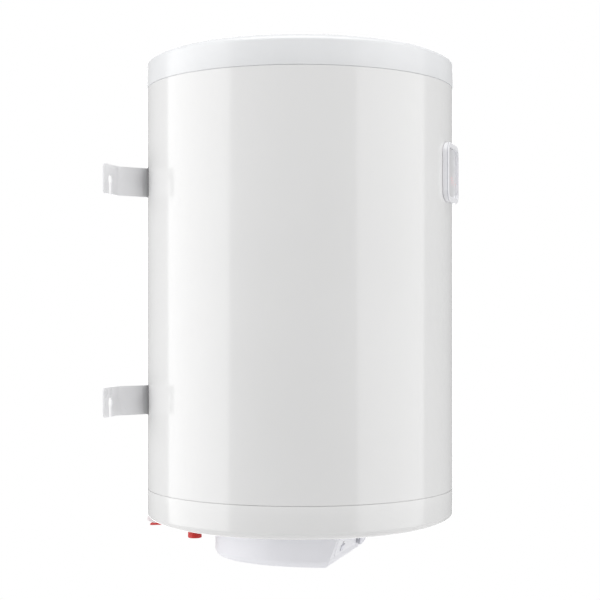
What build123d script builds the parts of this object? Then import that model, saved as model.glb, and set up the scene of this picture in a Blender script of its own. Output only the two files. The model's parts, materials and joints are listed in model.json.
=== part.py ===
from build123d import *
import os
from math import atan2, cos, degrees, radians, sin, sqrt, tan

# Wall-hung round electric storage water heater, in millimetres.
# +Z is up, the front is -Y, the wall is the plane y = 0, and the origin is the
# centre of the four wall-hook holes.

# Casing and caps: a round body whose axis stands in front of the wall
AXIS_Y = -230.0
CASING_R = 225.0
CASING_SHEET = 1.0
SEAM_TOP_Z = 294.3
SEAM_LOW_Z = -286.0
SEAM_GAP = 0.8
TOP_RIM_Z = 339.3
TOP_CORNER = (29.5, 11.8)  # radial and vertical semi-axes of the rounded rim
TOP_DOME_R = 184.0
TOP_DOME_RISE = 8.0
BASE_Z = -333.5
BASE_CORNER = (27.8, 12.3)
TOP_CAP_WALL = 2.0
SKIRT_OUT_R = CASING_R - CASING_SHEET - 0.2
SKIRT_WALL = 1.2
SKIRT_DEPTH = 10.0
FOAM_INSET = 2.6

# Enamelled tank
TANK_R = 200.0
TANK_WALL = 2.0
TANK_LOW_Z = -262.0
TANK_TOP_Z = 268.0
CROWN_R = 600.0
KNUCKLE_R = 20.0

# Wall brackets: one bent strip each, two ears with keyholes
HOOK_SPACING_X = 338.0
HOOK_SPACING_Z = 314.0
HOOK_HOLE_R = 6.5
HOOK_SLOT = 8.0
STRIP_HEIGHT = 42.0
STRIP = 2.5
EAR_END_X = 190.0
EAR_CORNER_R = 5.0
EAR_BEND_R = 18.0
LEG_THROUGH = (105.0, -31.0)  # plan point where a leg crosses the casing
LEG_RUN = (35.0, 28.0)  # sideways and backward run of a leg
WINDOW_WIDTH = 16.0  # the leg stands near its rear edge
WINDOW_HEIGHT = 44.0
WINDOW_CORNER_R = 3.0
WINDOW_SHIFT = -4.75

# Flange group on the tank's axis, from the tank downwards
NECK_R, NECK_BORE_R = 52.0, 48.0
FLANGE_R = 66.0
RING_Z = (-336.5, -331.0)
GASKET = 2.0
PLATE = 4.0
GASKET_Z = RING_Z[0] - GASKET
PLATE_Z = GASKET_Z - PLATE
STUD_COUNT = 6
STUD_PCR = 58.5
STUD_R = 3.0
STUD_END_Z = -351.0
NUT_AF, NUT_HEIGHT = 10.0, 5.0
ELEMENT_X = 26.0
ELEMENT_R = 4.0
ELEMENT_BEND_R = 12.0
ELEMENT_TOP_Z = -92.0
PIN_R = 1.5
PIN_END_Z = -358.0
ANODE_Y = AXIS_Y + 28.0
ANODE_R = 10.5
ANODE_TOP_Z = -60.0
ANODE_STUD_R = 4.0
POCKET_Y = AXIS_Y - 26.0
POCKET_R = 5.0
POCKET_TOP_Z = -100.0

# Pipes, both with G1/2 ends
PIPE_X = 50.0
PIPE_Y = -83.0
THREAD_R = 10.48
SHANK_R = 10.65
SHANK_LOW_Z = -337.0
NIPPLE_BORE_R = 7.75
NIPPLE_END_Z = -353.0
NIPPLE_TOP_Z = -280.0
RISER_R, RISER_BORE_R = 8.5, 7.0
HOT_TOP_Z = 285.0
COLD_TOP_Z = -258.0
PLUG_HEAD_R = 10.2
PLUG_HEAD = 10.0
PLUG_STEM_R = 7.65
PLUG_STEM = 12.0
BUSHING_R = 13.0

# Drain valve behind the pipes, with a lever at its side
DRAIN_X, DRAIN_Y = -18.0, -60.0
DRAIN_STUB_R, DRAIN_BORE_R = 8.0, 5.5
DRAIN_BODY_R = 11.0
DRAIN_BODY_Z = (-354.0, -336.0)
STEM_Z = -341.2
LEVER_FACES_X = (-52.0, -49.0)
LEVER_HALF = 6.5
LEVER_TIP_Y = -7.0

# Service cover below the body, cut by a tilted control panel
COVER_CENTRE_Y = -235.0
COVER_HALF_WIDTH = 105.0
COVER_REAR, COVER_FRONT = 133.0, 160.0  # semi-axes of the rear and front half ellipses
COVER_LOW_Z = -389.7
COVER_WALL = 2.5
COVER_EDGE_R = 11.0
PANEL_TOP_Y = -317.3  # panel plane at the body's bottom plane
PANEL_TILT = 18.4
PANEL_SIZE = (156.0, 38.0)
PANEL_CENTRE_Z = -357.5
PANEL_PLATE = 2.2
PANEL_CORNER_R = 6.0
KNOB_X, KNOB_DROP = 54.0, -2.0
KNOB_R, KNOB_HEIGHT = 18.0, 7.6
SPINDLE_R = 3.0
BUTTON_X, BUTTON_DROP = -43.0, -10.0
BUTTON_SIZE = (18.0, 8.0)
PILOT_X, PILOT_DROP = -46.0, -2.0
PILOT_SIZE = (8.0, 3.6)
BUTTON_PROUD = 1.6
COVER_SCREWS = ((-78.0, -262.0), (78.0, -262.0), (0.0, -118.0))
SCREW_R = 1.9
GLAND_Y, GLAND_Z = -235.0, -358.0
GLAND_R, GLAND_BORE_R = 9.0, 4.5
TERMINAL_X = (28.0, 66.0)
TERMINAL_Y = (-160.0, -144.0)
TERMINAL_POLES = 3
EARTH_X, EARTH_Y, EARTH_R = -50.0, -150.0, 2.5

# Display module high on the front
DISPLAY_Z = 168.0
DISPLAY_SIZE = (81.0, 84.0)
DISPLAY_CORNER_R = 16.0
DISPLAY_FACE_Y = -460.0
DISPLAY_GASKET = 0.8
LENS_SIZE = (67.0, 70.0)
LENS_CORNER_R = 9.0
LENS_DEPTH = 3.5
LENS = 2.0
HOUSING_SIZE = (65.0, 68.0)
HOUSING_BACK_Y = -430.0
BOARD_Y = -449.0
DIGIT_FACE_Y = -454.0
DIGIT_CENTRE = (17.0, -8.6)  # right of and below the window's centre
DIGIT_SIZE = (6.4, 10.8)
DIGIT_STROKE = 1.3
DIGIT_PITCH = 11.0

CLEAR = 0.3
FAR = 1000.0


def post(radius, z_low, z_high, x=0.0, y=AXIS_Y):
    """Upright cylinder between two heights."""
    return Pos(x, y, (z_low + z_high) / 2) * Cylinder(radius, z_high - z_low)


def pipe(radius, bore, z_low, z_high, x=0.0, y=AXIS_Y):
    """Upright tube between two heights."""
    return post(radius, z_low, z_high, x, y) - post(bore, z_low - 1, z_high + 1, x, y)


def block(x_span, y_span, z_span):
    """Box between two corners."""
    size = [abs(b - a) for a, b in (x_span, y_span, z_span)]
    middle = [(a + b) / 2 for a, b in (x_span, y_span, z_span)]
    return Pos(*middle) * Box(*size)


def nut(across_flats, z_low, z_high, bore, x, y):
    """Hexagonal nut between two heights."""
    hexagon = RegularPolygon(across_flats / 2, 6, major_radius=False)
    body = Pos(x, y, z_low) * extrude(hexagon, z_high - z_low)
    return body - post(bore, z_low - 1, z_high + 1, x, y)


def envelope(inset):
    """Whole body with all its outside walls moved in by inset."""
    radius = CASING_R - inset
    base_a, base_b = (v - inset for v in BASE_CORNER)
    top_a, top_b = (v - inset for v in TOP_CORNER)
    low, rim = BASE_Z + inset, TOP_RIM_Z - inset
    dome_radius = (TOP_DOME_R**2 + TOP_DOME_RISE**2) / (2 * TOP_DOME_RISE)
    dome_turn = degrees(atan2(TOP_DOME_R, dome_radius - TOP_DOME_RISE))
    outline = [
        Line((0, low), (radius - base_a, low)),
        EllipticalCenterArc((radius - base_a, low + base_b), base_a, base_b, 270, arc_size=90),
        Line((radius, low + base_b), (radius, rim - top_b)),
        EllipticalCenterArc((radius - top_a, rim - top_b), top_a, top_b, 0, arc_size=90),
        Line((radius - top_a, rim), (TOP_DOME_R, rim)),
        CenterArc(
            (0, rim + TOP_DOME_RISE - dome_radius), dome_radius, 90 - dome_turn, arc_size=dome_turn
        ),
        Line((0, rim + TOP_DOME_RISE), (0, low)),
    ]
    profile = Plane.XZ * make_face(outline)
    return Pos(0, AXIS_Y, 0) * revolve(profile, Axis.Z)


def skirt(seam_z, inward):
    """Joggled ring that tucks a cap into the casing; inward is -1 below a top cap."""
    top = seam_z - inward * 3
    end = seam_z + inward * SKIRT_DEPTH
    ring = pipe(SKIRT_OUT_R, SKIRT_OUT_R - SKIRT_WALL, min(top, end), max(top, end))
    shoulder_z = sorted((seam_z - inward * 0.4, top))
    return ring + pipe(CASING_R - 0.5, SKIRT_OUT_R - SKIRT_WALL, *shoulder_z)


def top_cap():
    shell = envelope(0) - envelope(TOP_CAP_WALL)
    shell &= post(FAR, SEAM_TOP_Z + SEAM_GAP / 2, FAR)
    return shell + skirt(SEAM_TOP_Z, -1)


def bottom_cap():
    shell = envelope(0) - envelope(CASING_SHEET)
    shell &= post(FAR, -FAR, SEAM_LOW_Z - SEAM_GAP / 2)
    shell += skirt(SEAM_LOW_Z, 1)
    shell -= post(FLANGE_R + 2, BASE_Z - 1, BASE_Z + 3)
    for x in (-PIPE_X, PIPE_X):
        shell -= post(BUSHING_R, BASE_Z - 1, BASE_Z + 3, x, PIPE_Y)
    shell -= post(DRAIN_STUB_R + 0.5, BASE_Z - 1, BASE_Z + 3, DRAIN_X, DRAIN_Y)
    shell -= post(EARTH_R + 0.05, BASE_Z - 1, BASE_Z + 3, EARTH_X, EARTH_Y)
    for x, y in COVER_SCREWS:
        shell -= post(SCREW_R + 0.1, BASE_Z - 1, BASE_Z + 3, x, y)
    return shell


def leg_slab(width, height, z, side, back=-16.0, front=24.0):
    """Round-cornered slab along a bracket leg, reaching further on the leg's front side."""
    turn = degrees(atan2(LEG_RUN[1], LEG_RUN[0]))
    slab = Box(front - back, width, height)
    slab = fillet(slab.edges().filter_by(Axis.X), WINDOW_CORNER_R)
    slab = Pos((back + front) / 2, WINDOW_SHIFT, 0) * slab
    slab = Pos(*LEG_THROUGH, z) * Rot(0, 0, turn) * slab
    return slab if side > 0 else mirror(slab, Plane.YZ)


def outer_casing():
    low, high = SEAM_LOW_Z + SEAM_GAP / 2, SEAM_TOP_Z - SEAM_GAP / 2
    shell = pipe(CASING_R, CASING_R - CASING_SHEET, low, high)
    for z in (-HOOK_SPACING_Z / 2, HOOK_SPACING_Z / 2):
        for side in (-1, 1):
            shell -= leg_slab(WINDOW_WIDTH, WINDOW_HEIGHT, z, side)
    return shell - display_slab(LENS_SIZE, LENS_CORNER_R, -470, -440, grow=CLEAR)


def tank_outline(inset):
    """Crown and knuckle arcs of a tank head in a plane, from the axis to the rim."""
    offset = sqrt((CROWN_R - KNUCKLE_R) ** 2 - (TANK_R - KNUCKLE_R) ** 2)
    turn = degrees(atan2(offset, TANK_R - KNUCKLE_R))
    radius, crown, knuckle = (v - inset for v in (TANK_R, CROWN_R, KNUCKLE_R))
    outline = [
        CenterArc((TANK_R - KNUCKLE_R, 0), knuckle, 0, arc_size=turn),
        CenterArc((0, -offset), crown, turn, arc_size=90 - turn),
        Line((0, crown - offset), (0, 0)),
        Line((0, 0), (radius, 0)),
    ]
    return Plane.XZ * make_face(outline)


def head_form(inset):
    """Solid dished head standing on z = 0."""
    return revolve(tank_outline(inset), Axis.Z)


def tank_form():
    """Space that the closed tank fills."""
    top = Pos(0, AXIS_Y, TANK_TOP_Z) * head_form(0)
    low = Pos(0, AXIS_Y, TANK_LOW_Z) * Rot(180, 0, 0) * head_form(0)
    return top + low + post(TANK_R, TANK_LOW_Z, TANK_TOP_Z)


def tank_barrel():
    return pipe(TANK_R, TANK_R - TANK_WALL, TANK_LOW_Z, TANK_TOP_Z)


def tank_top_head():
    head = head_form(0) - head_form(TANK_WALL)
    return Pos(0, AXIS_Y, TANK_TOP_Z) * head


def tank_bottom_head():
    head = Pos(0, AXIS_Y, TANK_LOW_Z) * Rot(180, 0, 0) * (head_form(0) - head_form(TANK_WALL))
    head -= post(NECK_R, -340, -270)
    for x in (-PIPE_X, PIPE_X):
        head -= post(SHANK_R, -340, -264, x, PIPE_Y)
    return head - post(DRAIN_STUB_R, -340, -264, DRAIN_X, DRAIN_Y)


def flange_neck():
    neck = pipe(NECK_R, NECK_BORE_R, RING_Z[0], -303)
    return neck + pipe(FLANGE_R, NECK_BORE_R, *RING_Z)


def bracket_plan(width):
    """Plan of a bracket's whole strip: two ears, two legs and the saddle between them."""
    inside = TANK_R + STRIP / 2
    run = sqrt(LEG_RUN[0] ** 2 + LEG_RUN[1] ** 2)
    ux, uy = LEG_RUN[0] / run, LEG_RUN[1] / run
    px, py = LEG_THROUGH[0], LEG_THROUGH[1] - AXIS_Y
    along = px * ux + py * uy
    reach = along - sqrt(along**2 - (px**2 + py**2 - inside**2))
    foot = (px - reach * ux, py - reach * uy + AXIS_Y)
    ear_y = -STRIP / 2
    knee_x = LEG_THROUGH[0] + (ear_y - LEG_THROUGH[1]) * LEG_RUN[0] / LEG_RUN[1]
    leg = FilletPolyline((EAR_END_X, ear_y), (knee_x, ear_y), foot, radius=EAR_BEND_R)
    half = degrees(atan2(foot[0], foot[1] - AXIS_Y))
    saddle = CenterArc((0, AXIS_Y), inside, 90 - half, arc_size=2 * half)
    other_leg = mirror(leg, Plane.YZ)
    plan = trace(leg, width) + trace(saddle, width) + trace(other_leg, width)
    toe = Pos(*foot) * Circle(width / 2) + Pos(-foot[0], foot[1]) * Circle(width / 2)
    return plan + toe


def bracket(z):
    """Bent strip centred on a height, with a keyhole open downward in each ear."""
    strip = Pos(0, 0, z - STRIP_HEIGHT / 2) * extrude(bracket_plan(STRIP), STRIP_HEIGHT)
    strip -= post(TANK_R, z - STRIP_HEIGHT, z + STRIP_HEIGHT)
    low = z - STRIP_HEIGHT / 2
    for side in (-1, 1):
        x = side * HOOK_SPACING_X / 2
        hole = Pos(x, 0, z) * Rot(90, 0, 0) * Cylinder(HOOK_HOLE_R, 12)
        slot = block((x - HOOK_SLOT / 2, x + HOOK_SLOT / 2), (-6, 6), (low - 1, z))
        strip -= hole + slot
        end = side * EAR_END_X
        for corner_z in (low, z + STRIP_HEIGHT / 2):
            inward = 1 if corner_z < z else -1
            centre = (end - side * EAR_CORNER_R, corner_z + inward * EAR_CORNER_R)
            square = block((centre[0], end + side), (-6, 6), (corner_z - inward, centre[1]))
            round_end = Pos(centre[0], 0, centre[1]) * Rot(90, 0, 0) * Cylinder(EAR_CORNER_R, 14)
            strip -= square - round_end
    return strip


def bracket_slot_seals(brackets):
    """Soft frames inside the casing round the four bracket legs."""
    band = pipe(CASING_R - CASING_SHEET - 0.1, CASING_R - 8, -FAR / 4, FAR / 4)
    seals = []
    for z in (-HOOK_SPACING_Z / 2, HOOK_SPACING_Z / 2):
        for side in (-1, 1):
            frame = leg_slab(WINDOW_WIDTH + 8, WINDOW_HEIGHT + 8, z, side, back=-24, front=20)
            seals.append((frame & band) - brackets)
    return seals


def u_element(x):
    """Heating element: one bent tube with two contact pins below the plate."""
    low = PLATE_Z - 3
    y_near, y_far = AXIS_Y - ELEMENT_BEND_R, AXIS_Y + ELEMENT_BEND_R
    bend_z = ELEMENT_TOP_Z - ELEMENT_BEND_R
    path = Wire(
        [
            Line((x, y_near, low), (x, y_near, bend_z)).edge(),
            ThreePointArc((x, y_near, bend_z), (x, AXIS_Y, ELEMENT_TOP_Z), (x, y_far, bend_z)).edge(),
            Line((x, y_far, bend_z), (x, y_far, low)).edge(),
        ]
    )
    start = Plane((x, y_near, low), z_dir=(0, 0, 1))
    tube = sweep(start * Circle(ELEMENT_R), path)
    for y in (y_near, y_far):
        tube += post(PIN_R, PIN_END_Z, low + 0.5, x, y)
    return tube


def element_points():
    """Places where element legs pass the flange plate."""
    return [(x, AXIS_Y + s * ELEMENT_BEND_R) for x in (-ELEMENT_X, ELEMENT_X) for s in (-1, 1)]


def stud_points():
    turns = [radians(30 + 360 * i / STUD_COUNT) for i in range(STUD_COUNT)]
    return [(STUD_PCR * cos(a), AXIS_Y + STUD_PCR * sin(a)) for a in turns]


def flange_gasket():
    ring = pipe(FLANGE_R, NECK_BORE_R, GASKET_Z, RING_Z[0])
    for x, y in stud_points():
        ring -= post(STUD_R + 0.1, GASKET_Z - 1, RING_Z[0] + 1, x, y)
    return ring


def flange_plate():
    plate = post(FLANGE_R, PLATE_Z, GASKET_Z)
    holes = [(x, y, STUD_R + 0.1) for x, y in stud_points()]
    holes += [(x, y, ELEMENT_R) for x, y in element_points()]
    holes += [(0, ANODE_Y, ANODE_STUD_R + 0.1), (0, POCKET_Y, POCKET_R)]
    for x, y, radius in holes:
        plate -= post(radius, PLATE_Z - 1, GASKET_Z + 1, x, y)
    return plate


def flange_studs():
    return [post(STUD_R, STUD_END_Z, RING_Z[0], x, y) for x, y in stud_points()]


def flange_nuts():
    return [nut(NUT_AF, PLATE_Z - NUT_HEIGHT, PLATE_Z, STUD_R + 0.05, x, y) for x, y in stud_points()]


def terminal_insulators():
    span = (PLATE_Z - 7, PLATE_Z - 3)
    return [pipe(ELEMENT_R + 0.5, PIN_R + 0.05, *span, x, y) for x, y in element_points()]


def magnesium_anode():
    rod = post(ANODE_R, PLATE_Z + 12, ANODE_TOP_Z, 0, ANODE_Y)
    return rod + post(ANODE_STUD_R, PLATE_Z - 9, PLATE_Z + 13, 0, ANODE_Y)


def anode_nut():
    return nut(13.0, PLATE_Z - 6.5, PLATE_Z, ANODE_STUD_R + 0.05, 0, ANODE_Y)


def sensor_pocket():
    tube = post(POCKET_R, PLATE_Z - 4, POCKET_TOP_Z, 0, POCKET_Y)
    return tube - post(POCKET_R - 1, PLATE_Z - 5, POCKET_TOP_Z - 2, 0, POCKET_Y)


def temperature_sensor():
    return post(POCKET_R - 1.3, PLATE_Z - 9, POCKET_TOP_Z - 8, 0, POCKET_Y)


def thermal_cutout():
    body = block((-17, 17), (AXIS_Y - 15, AXIS_Y + 15), (PLATE_Z - 24, PLATE_Z))
    return body - post(4.3, PLATE_Z - 25, PLATE_Z - 16)


def reset_button():
    return post(4.0, PLATE_Z - 28, PLATE_Z - 19)


def riser(top_z, x):
    """Threaded nipple with the thinner tube that goes on inside the tank."""
    nipple = pipe(THREAD_R, NIPPLE_BORE_R, NIPPLE_END_Z, SHANK_LOW_Z, x, PIPE_Y)
    nipple += pipe(SHANK_R, NIPPLE_BORE_R, SHANK_LOW_Z, NIPPLE_TOP_Z, x, PIPE_Y)
    return nipple + pipe(RISER_R, RISER_BORE_R, NIPPLE_TOP_Z - 2, top_z, x, PIPE_Y)


def cold_diffuser():
    """Cup over the cold pipe's end that turns the stream sideways."""
    cup = post(RISER_R + 4, COLD_TOP_Z - 14, COLD_TOP_Z + 18, PIPE_X, PIPE_Y)
    cup -= post(RISER_R, COLD_TOP_Z - 15, COLD_TOP_Z, PIPE_X, PIPE_Y)
    cup -= post(RISER_R - 1, COLD_TOP_Z - 1, COLD_TOP_Z + 15, PIPE_X, PIPE_Y)
    for turn in (0, 90):
        slot = Pos(PIPE_X, PIPE_Y, COLD_TOP_Z + 8) * Rot(0, 0, turn) * Box(40, 5, 9)
        cup -= slot
    return cup


def pipe_bushings():
    rings = []
    for x in (-PIPE_X, PIPE_X):
        ring = pipe(BUSHING_R, SHANK_R + 0.1, BASE_Z, BASE_Z + 2, x, PIPE_Y)
        rings.append(ring + pipe(BUSHING_R + 3, SHANK_R + 0.1, BASE_Z - 2.5, BASE_Z, x, PIPE_Y))
    return rings


def pipe_plug(x):
    """Push-in stopper, narrower than the thread so that a coupling passes over it."""
    head = post(PLUG_HEAD_R, NIPPLE_END_Z - PLUG_HEAD, NIPPLE_END_Z - 0.1, x, PIPE_Y)
    stem = post(PLUG_STEM_R, NIPPLE_END_Z - 0.2, NIPPLE_END_Z + PLUG_STEM, x, PIPE_Y)
    grip = pipe(FAR, PLUG_HEAD_R - 1.2, NIPPLE_END_Z - 7, NIPPLE_END_Z - 5.5, x, PIPE_Y)
    return head + stem - grip


def drain_stub():
    return pipe(DRAIN_STUB_R, DRAIN_BORE_R, DRAIN_BODY_Z[1], -281, DRAIN_X, DRAIN_Y)


def drain_valve_body():
    body = post(DRAIN_BODY_R, *DRAIN_BODY_Z, DRAIN_X, DRAIN_Y)
    boss_end = LEVER_FACES_X[1] + 4
    boss = Pos((boss_end + DRAIN_X) / 2, DRAIN_Y, STEM_Z) * Rot(0, 90, 0)
    body += boss * Cylinder(5.0, DRAIN_X - boss_end)
    body -= post(DRAIN_BORE_R, DRAIN_BODY_Z[0] - 1, DRAIN_BODY_Z[0] + 6, DRAIN_X, DRAIN_Y)
    bore = Pos(boss_end, DRAIN_Y, STEM_Z) * Rot(0, 90, 0) * Cylinder(3.05, 16)
    return body - bore


def drain_lever():
    """Flat handle on its stem, lying towards the wall when the valve is shut."""
    x0, x1 = LEVER_FACES_X
    middle = (x0 + x1) / 2
    hub = Pos(middle, DRAIN_Y, STEM_Z) * Rot(0, 90, 0) * Cylinder(LEVER_HALF, x1 - x0)
    arm = block((x0, x1), (DRAIN_Y, LEVER_TIP_Y - LEVER_HALF), (STEM_Z - LEVER_HALF, STEM_Z + LEVER_HALF))
    tip_at = (middle, LEVER_TIP_Y - LEVER_HALF, STEM_Z)
    tip = Pos(*tip_at) * Rot(0, 90, 0) * Cylinder(LEVER_HALF, x1 - x0)
    return hub + arm + tip


def drain_stem():
    start, end = LEVER_FACES_X[1], LEVER_FACES_X[1] + 11
    return Pos((start + end) / 2, DRAIN_Y, STEM_Z) * Rot(0, 90, 0) * Cylinder(3.0, end - start)


def panel_plane():
    """Face of the control panel: x to the right, y up the panel, z outward."""
    tilt = radians(PANEL_TILT)
    centre_y = PANEL_TOP_Y + (BASE_Z - PANEL_CENTRE_Z) * tan(tilt)
    normal = (0, -cos(tilt), -sin(tilt))
    return Plane((0, centre_y, PANEL_CENTRE_Z), x_dir=(1, 0, 0), z_dir=normal)


def cover_form(inset):
    """Solid inside of the service cover's outline, with its walls moved in by inset."""
    half, rear, front = (v - inset for v in (COVER_HALF_WIDTH, COVER_REAR, COVER_FRONT))
    outline = [
        EllipticalCenterArc((0, COVER_CENTRE_Y), half, rear, 0, arc_size=180),
        EllipticalCenterArc((0, COVER_CENTRE_Y), half, front, 180, arc_size=180),
    ]
    low = COVER_LOW_Z + inset
    body = Pos(0, 0, low) * extrude(make_face(outline), BASE_Z + inset - low)
    body -= panel_plane() * Pos(0, 0, FAR / 2 - inset) * Box(FAR, FAR, FAR)
    return fillet(body.edges().group_by(Axis.Z)[0], COVER_EDGE_R - inset)


def service_cover():
    shell = cover_form(0) - cover_form(COVER_WALL)
    shell &= post(FAR, -FAR, BASE_Z)
    window = Sketch() + RectangleRounded(*(v + 2 * CLEAR for v in PANEL_SIZE), PANEL_CORNER_R)
    shell -= panel_plane() * Pos(0, 0, -6) * extrude(window, 10)
    for x, y in COVER_SCREWS:
        shell += post(5.5, COVER_LOW_Z + 1, BASE_Z, x, y) & cover_form(0)
        shell -= post(SCREW_R + 0.1, COVER_LOW_Z - 1, BASE_Z + 1, x, y)
        shell -= post(4.4, COVER_LOW_Z - 1, COVER_LOW_Z + 2.6, x, y)
    bore = Pos(COVER_HALF_WIDTH, GLAND_Y, GLAND_Z) * Rot(0, 90, 0) * Cylinder(6.5, 30)
    return shell - bore


def cover_screws():
    screws = []
    for x, y in COVER_SCREWS:
        head = post(4.0, COVER_LOW_Z + 0.4, COVER_LOW_Z + 2.6, x, y)
        screws.append(head + post(SCREW_R, COVER_LOW_Z + 2, BASE_Z + 9, x, y))
    return screws


def control_panel():
    plate = extrude(RectangleRounded(*PANEL_SIZE, PANEL_CORNER_R), PANEL_PLATE)
    plate = Pos(0, 0, -PANEL_PLATE + 0.4) * plate
    plate -= Pos(KNOB_X, KNOB_DROP, 0) * Cylinder(SPINDLE_R + 1, 10)
    hole = RectangleRounded(*(v + 2 * CLEAR for v in BUTTON_SIZE), 3.3)
    plate -= Pos(BUTTON_X, BUTTON_DROP, -5) * extrude(hole, 10)
    plate -= Pos(PILOT_X, PILOT_DROP, -5) * extrude(RectangleRounded(*PILOT_SIZE, 1.5), 10)
    return panel_plane() * plate


def pilot_lens():
    lens = extrude(RectangleRounded(*(v - 0.1 for v in PILOT_SIZE), 1.4), 3.2)
    return panel_plane() * Pos(PILOT_X, PILOT_DROP, -2.4) * lens


def power_button():
    cap = extrude(RectangleRounded(*BUTTON_SIZE, 3), 5.0 + BUTTON_PROUD)
    cap = fillet(cap.edges().group_by(Axis.Z)[-1], 0.8)
    return panel_plane() * Pos(BUTTON_X, BUTTON_DROP, 0.4 - 5.0) * cap


def power_switch():
    return panel_plane() * Pos(BUTTON_X, BUTTON_DROP, -9.1) * Box(10, 7, 5)


def panel_board():
    return panel_plane() * Pos(BUTTON_X + 8, -6, -12.4) * Box(64, 24, 1.6)


def temperature_knob():
    """Round knob with a raised grip rib and a blind bore for the spindle."""
    body = fillet(Cylinder(KNOB_R, KNOB_HEIGHT).edges().group_by(Axis.Z)[-1], 2.0)
    body = Pos(0, 0, KNOB_HEIGHT / 2 + 0.9) * body
    body += Pos(0, KNOB_R / 2, KNOB_HEIGHT + 0.9) * Box(2.0, KNOB_R * 0.7, 1.0)
    body -= Cylinder(SPINDLE_R, 12)
    return panel_plane() * Pos(KNOB_X, KNOB_DROP, 0) * body


def thermostat_spindle():
    return panel_plane() * Pos(KNOB_X, KNOB_DROP, -2) * Cylinder(SPINDLE_R, 16)


def thermostat_body():
    body = Pos(0, 0, -14.5) * Box(34, 27, 19)
    bush = Pos(0, 0, -4.0) * Cylinder(6.0, 3.2)
    body = body + bush - Pos(0, 0, -5) * Cylinder(SPINDLE_R + 0.05, 12)
    return panel_plane() * Pos(KNOB_X, KNOB_DROP, 0) * body


def gland_tube(radius, x_low, x_high):
    place = Pos((x_low + x_high) / 2, GLAND_Y, GLAND_Z) * Rot(0, 90, 0)
    return place * Cylinder(radius, x_high - x_low)


def cable_gland():
    """Gland through the cover's side, with a dome nut outside."""
    wall = COVER_HALF_WIDTH
    body = gland_tube(6.3, wall - 12, wall + 4) + gland_tube(GLAND_R, wall, wall + 5)
    body += gland_tube(GLAND_R - 1.5, wall + 5, wall + 15)
    return body - gland_tube(GLAND_BORE_R, wall - 13, wall + 16)


def gland_nut():
    hexagon = RegularPolygon(9.0, 6, major_radius=False)
    place = Pos(COVER_HALF_WIDTH - COVER_WALL - 6.0, GLAND_Y, GLAND_Z) * Rot(0, 90, 0)
    return place * extrude(hexagon, 4.5) - gland_tube(6.35, 80, 110)


def terminal_points():
    step = (TERMINAL_X[1] - TERMINAL_X[0]) / TERMINAL_POLES
    return [TERMINAL_X[0] + (i + 0.5) * step for i in range(TERMINAL_POLES)]


def terminal_block():
    body = block(TERMINAL_X, TERMINAL_Y, (BASE_Z - 16, BASE_Z))
    middle_y = sum(TERMINAL_Y) / 2
    for x in terminal_points():
        body -= post(3.2, BASE_Z - 17, BASE_Z - 8, x, middle_y)
    return body


def terminal_screws():
    middle_y = sum(TERMINAL_Y) / 2
    return [post(2.9, BASE_Z - 14, BASE_Z - 8, x, middle_y) for x in terminal_points()]


def earth_stud():
    head = post(5.0, BASE_Z + 1.0, BASE_Z + 3.0, EARTH_X, EARTH_Y)
    return head + post(EARTH_R, BASE_Z - 16, BASE_Z + 1.5, EARTH_X, EARTH_Y)


def earth_nut():
    return nut(8.0, BASE_Z - 5, BASE_Z, EARTH_R + 0.05, EARTH_X, EARTH_Y)


def display_slab(size, corner, y_front, y_back, grow=0.0):
    """Rounded rectangle on the front, between two depths."""
    face = Plane((0, y_front, DISPLAY_Z), x_dir=(1, 0, 0), z_dir=(0, -1, 0))
    shape = RectangleRounded(size[0] + 2 * grow, size[1] + 2 * grow, corner + grow)
    return extrude(face * shape, -abs(y_back - y_front))


def display_bezel():
    ring = display_slab(DISPLAY_SIZE, DISPLAY_CORNER_R, DISPLAY_FACE_Y, -446)
    ring = fillet(ring.edges().group_by(Axis.Y)[0], 1.2)
    ring -= display_slab(LENS_SIZE, LENS_CORNER_R, DISPLAY_FACE_Y - 1, -440)
    return ring - post(CASING_R + DISPLAY_GASKET, 0, FAR)


def display_gasket():
    ring = display_slab(DISPLAY_SIZE, DISPLAY_CORNER_R, -458, -446, grow=-1.0)
    ring -= display_slab(LENS_SIZE, LENS_CORNER_R, -461, -440)
    return ring & pipe(CASING_R + DISPLAY_GASKET, CASING_R, 0, FAR)


def display_lens():
    front = DISPLAY_FACE_Y + LENS_DEPTH
    return display_slab(LENS_SIZE, LENS_CORNER_R, front, front + LENS, grow=-0.1)


def display_housing():
    front = DISPLAY_FACE_Y + LENS_DEPTH + LENS
    outer = display_slab(HOUSING_SIZE, LENS_CORNER_R - 1, front, HOUSING_BACK_Y)
    return outer - display_slab(HOUSING_SIZE, LENS_CORNER_R - 1, front - 1, HOUSING_BACK_Y - 2, grow=-2)


def display_board():
    return display_slab(HOUSING_SIZE, LENS_CORNER_R - 1, BOARD_Y, BOARD_Y + 1.6, grow=-2.2)


def digit_centre(column=0):
    return DIGIT_CENTRE[0] + column * DIGIT_PITCH / 2, DISPLAY_Z + DIGIT_CENTRE[1]


def digit_block():
    """Light box of the two digits, on the board behind the lens."""
    x, z = digit_centre()
    return block((x - 13, x + 13), (DIGIT_FACE_Y + 0.4, BOARD_Y), (z - 8, z + 8))


def segment(x, z, width, height):
    span_y = (DIGIT_FACE_Y, DIGIT_FACE_Y + 0.4)
    return block((x - width / 2, x + width / 2), span_y, (z - height / 2, z + height / 2))


def digit_segments():
    """Two seven-segment digits as thin separate bars on the light box."""
    width, height = DIGIT_SIZE
    across, tall = width - DIGIT_STROKE - 0.4, height / 2 - DIGIT_STROKE - 0.4
    bars = []
    for column in (-1, 1):
        x, z = digit_centre(column)
        bars += [segment(x, z + level * height / 2, across, DIGIT_STROKE) for level in (-1, 0, 1)]
        for side in (-1, 1):
            for level in (-1, 1):
                place = (x + side * width / 2, z + level * height / 4)
                bars.append(segment(*place, DIGIT_STROKE, tall))
    return bars


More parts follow.
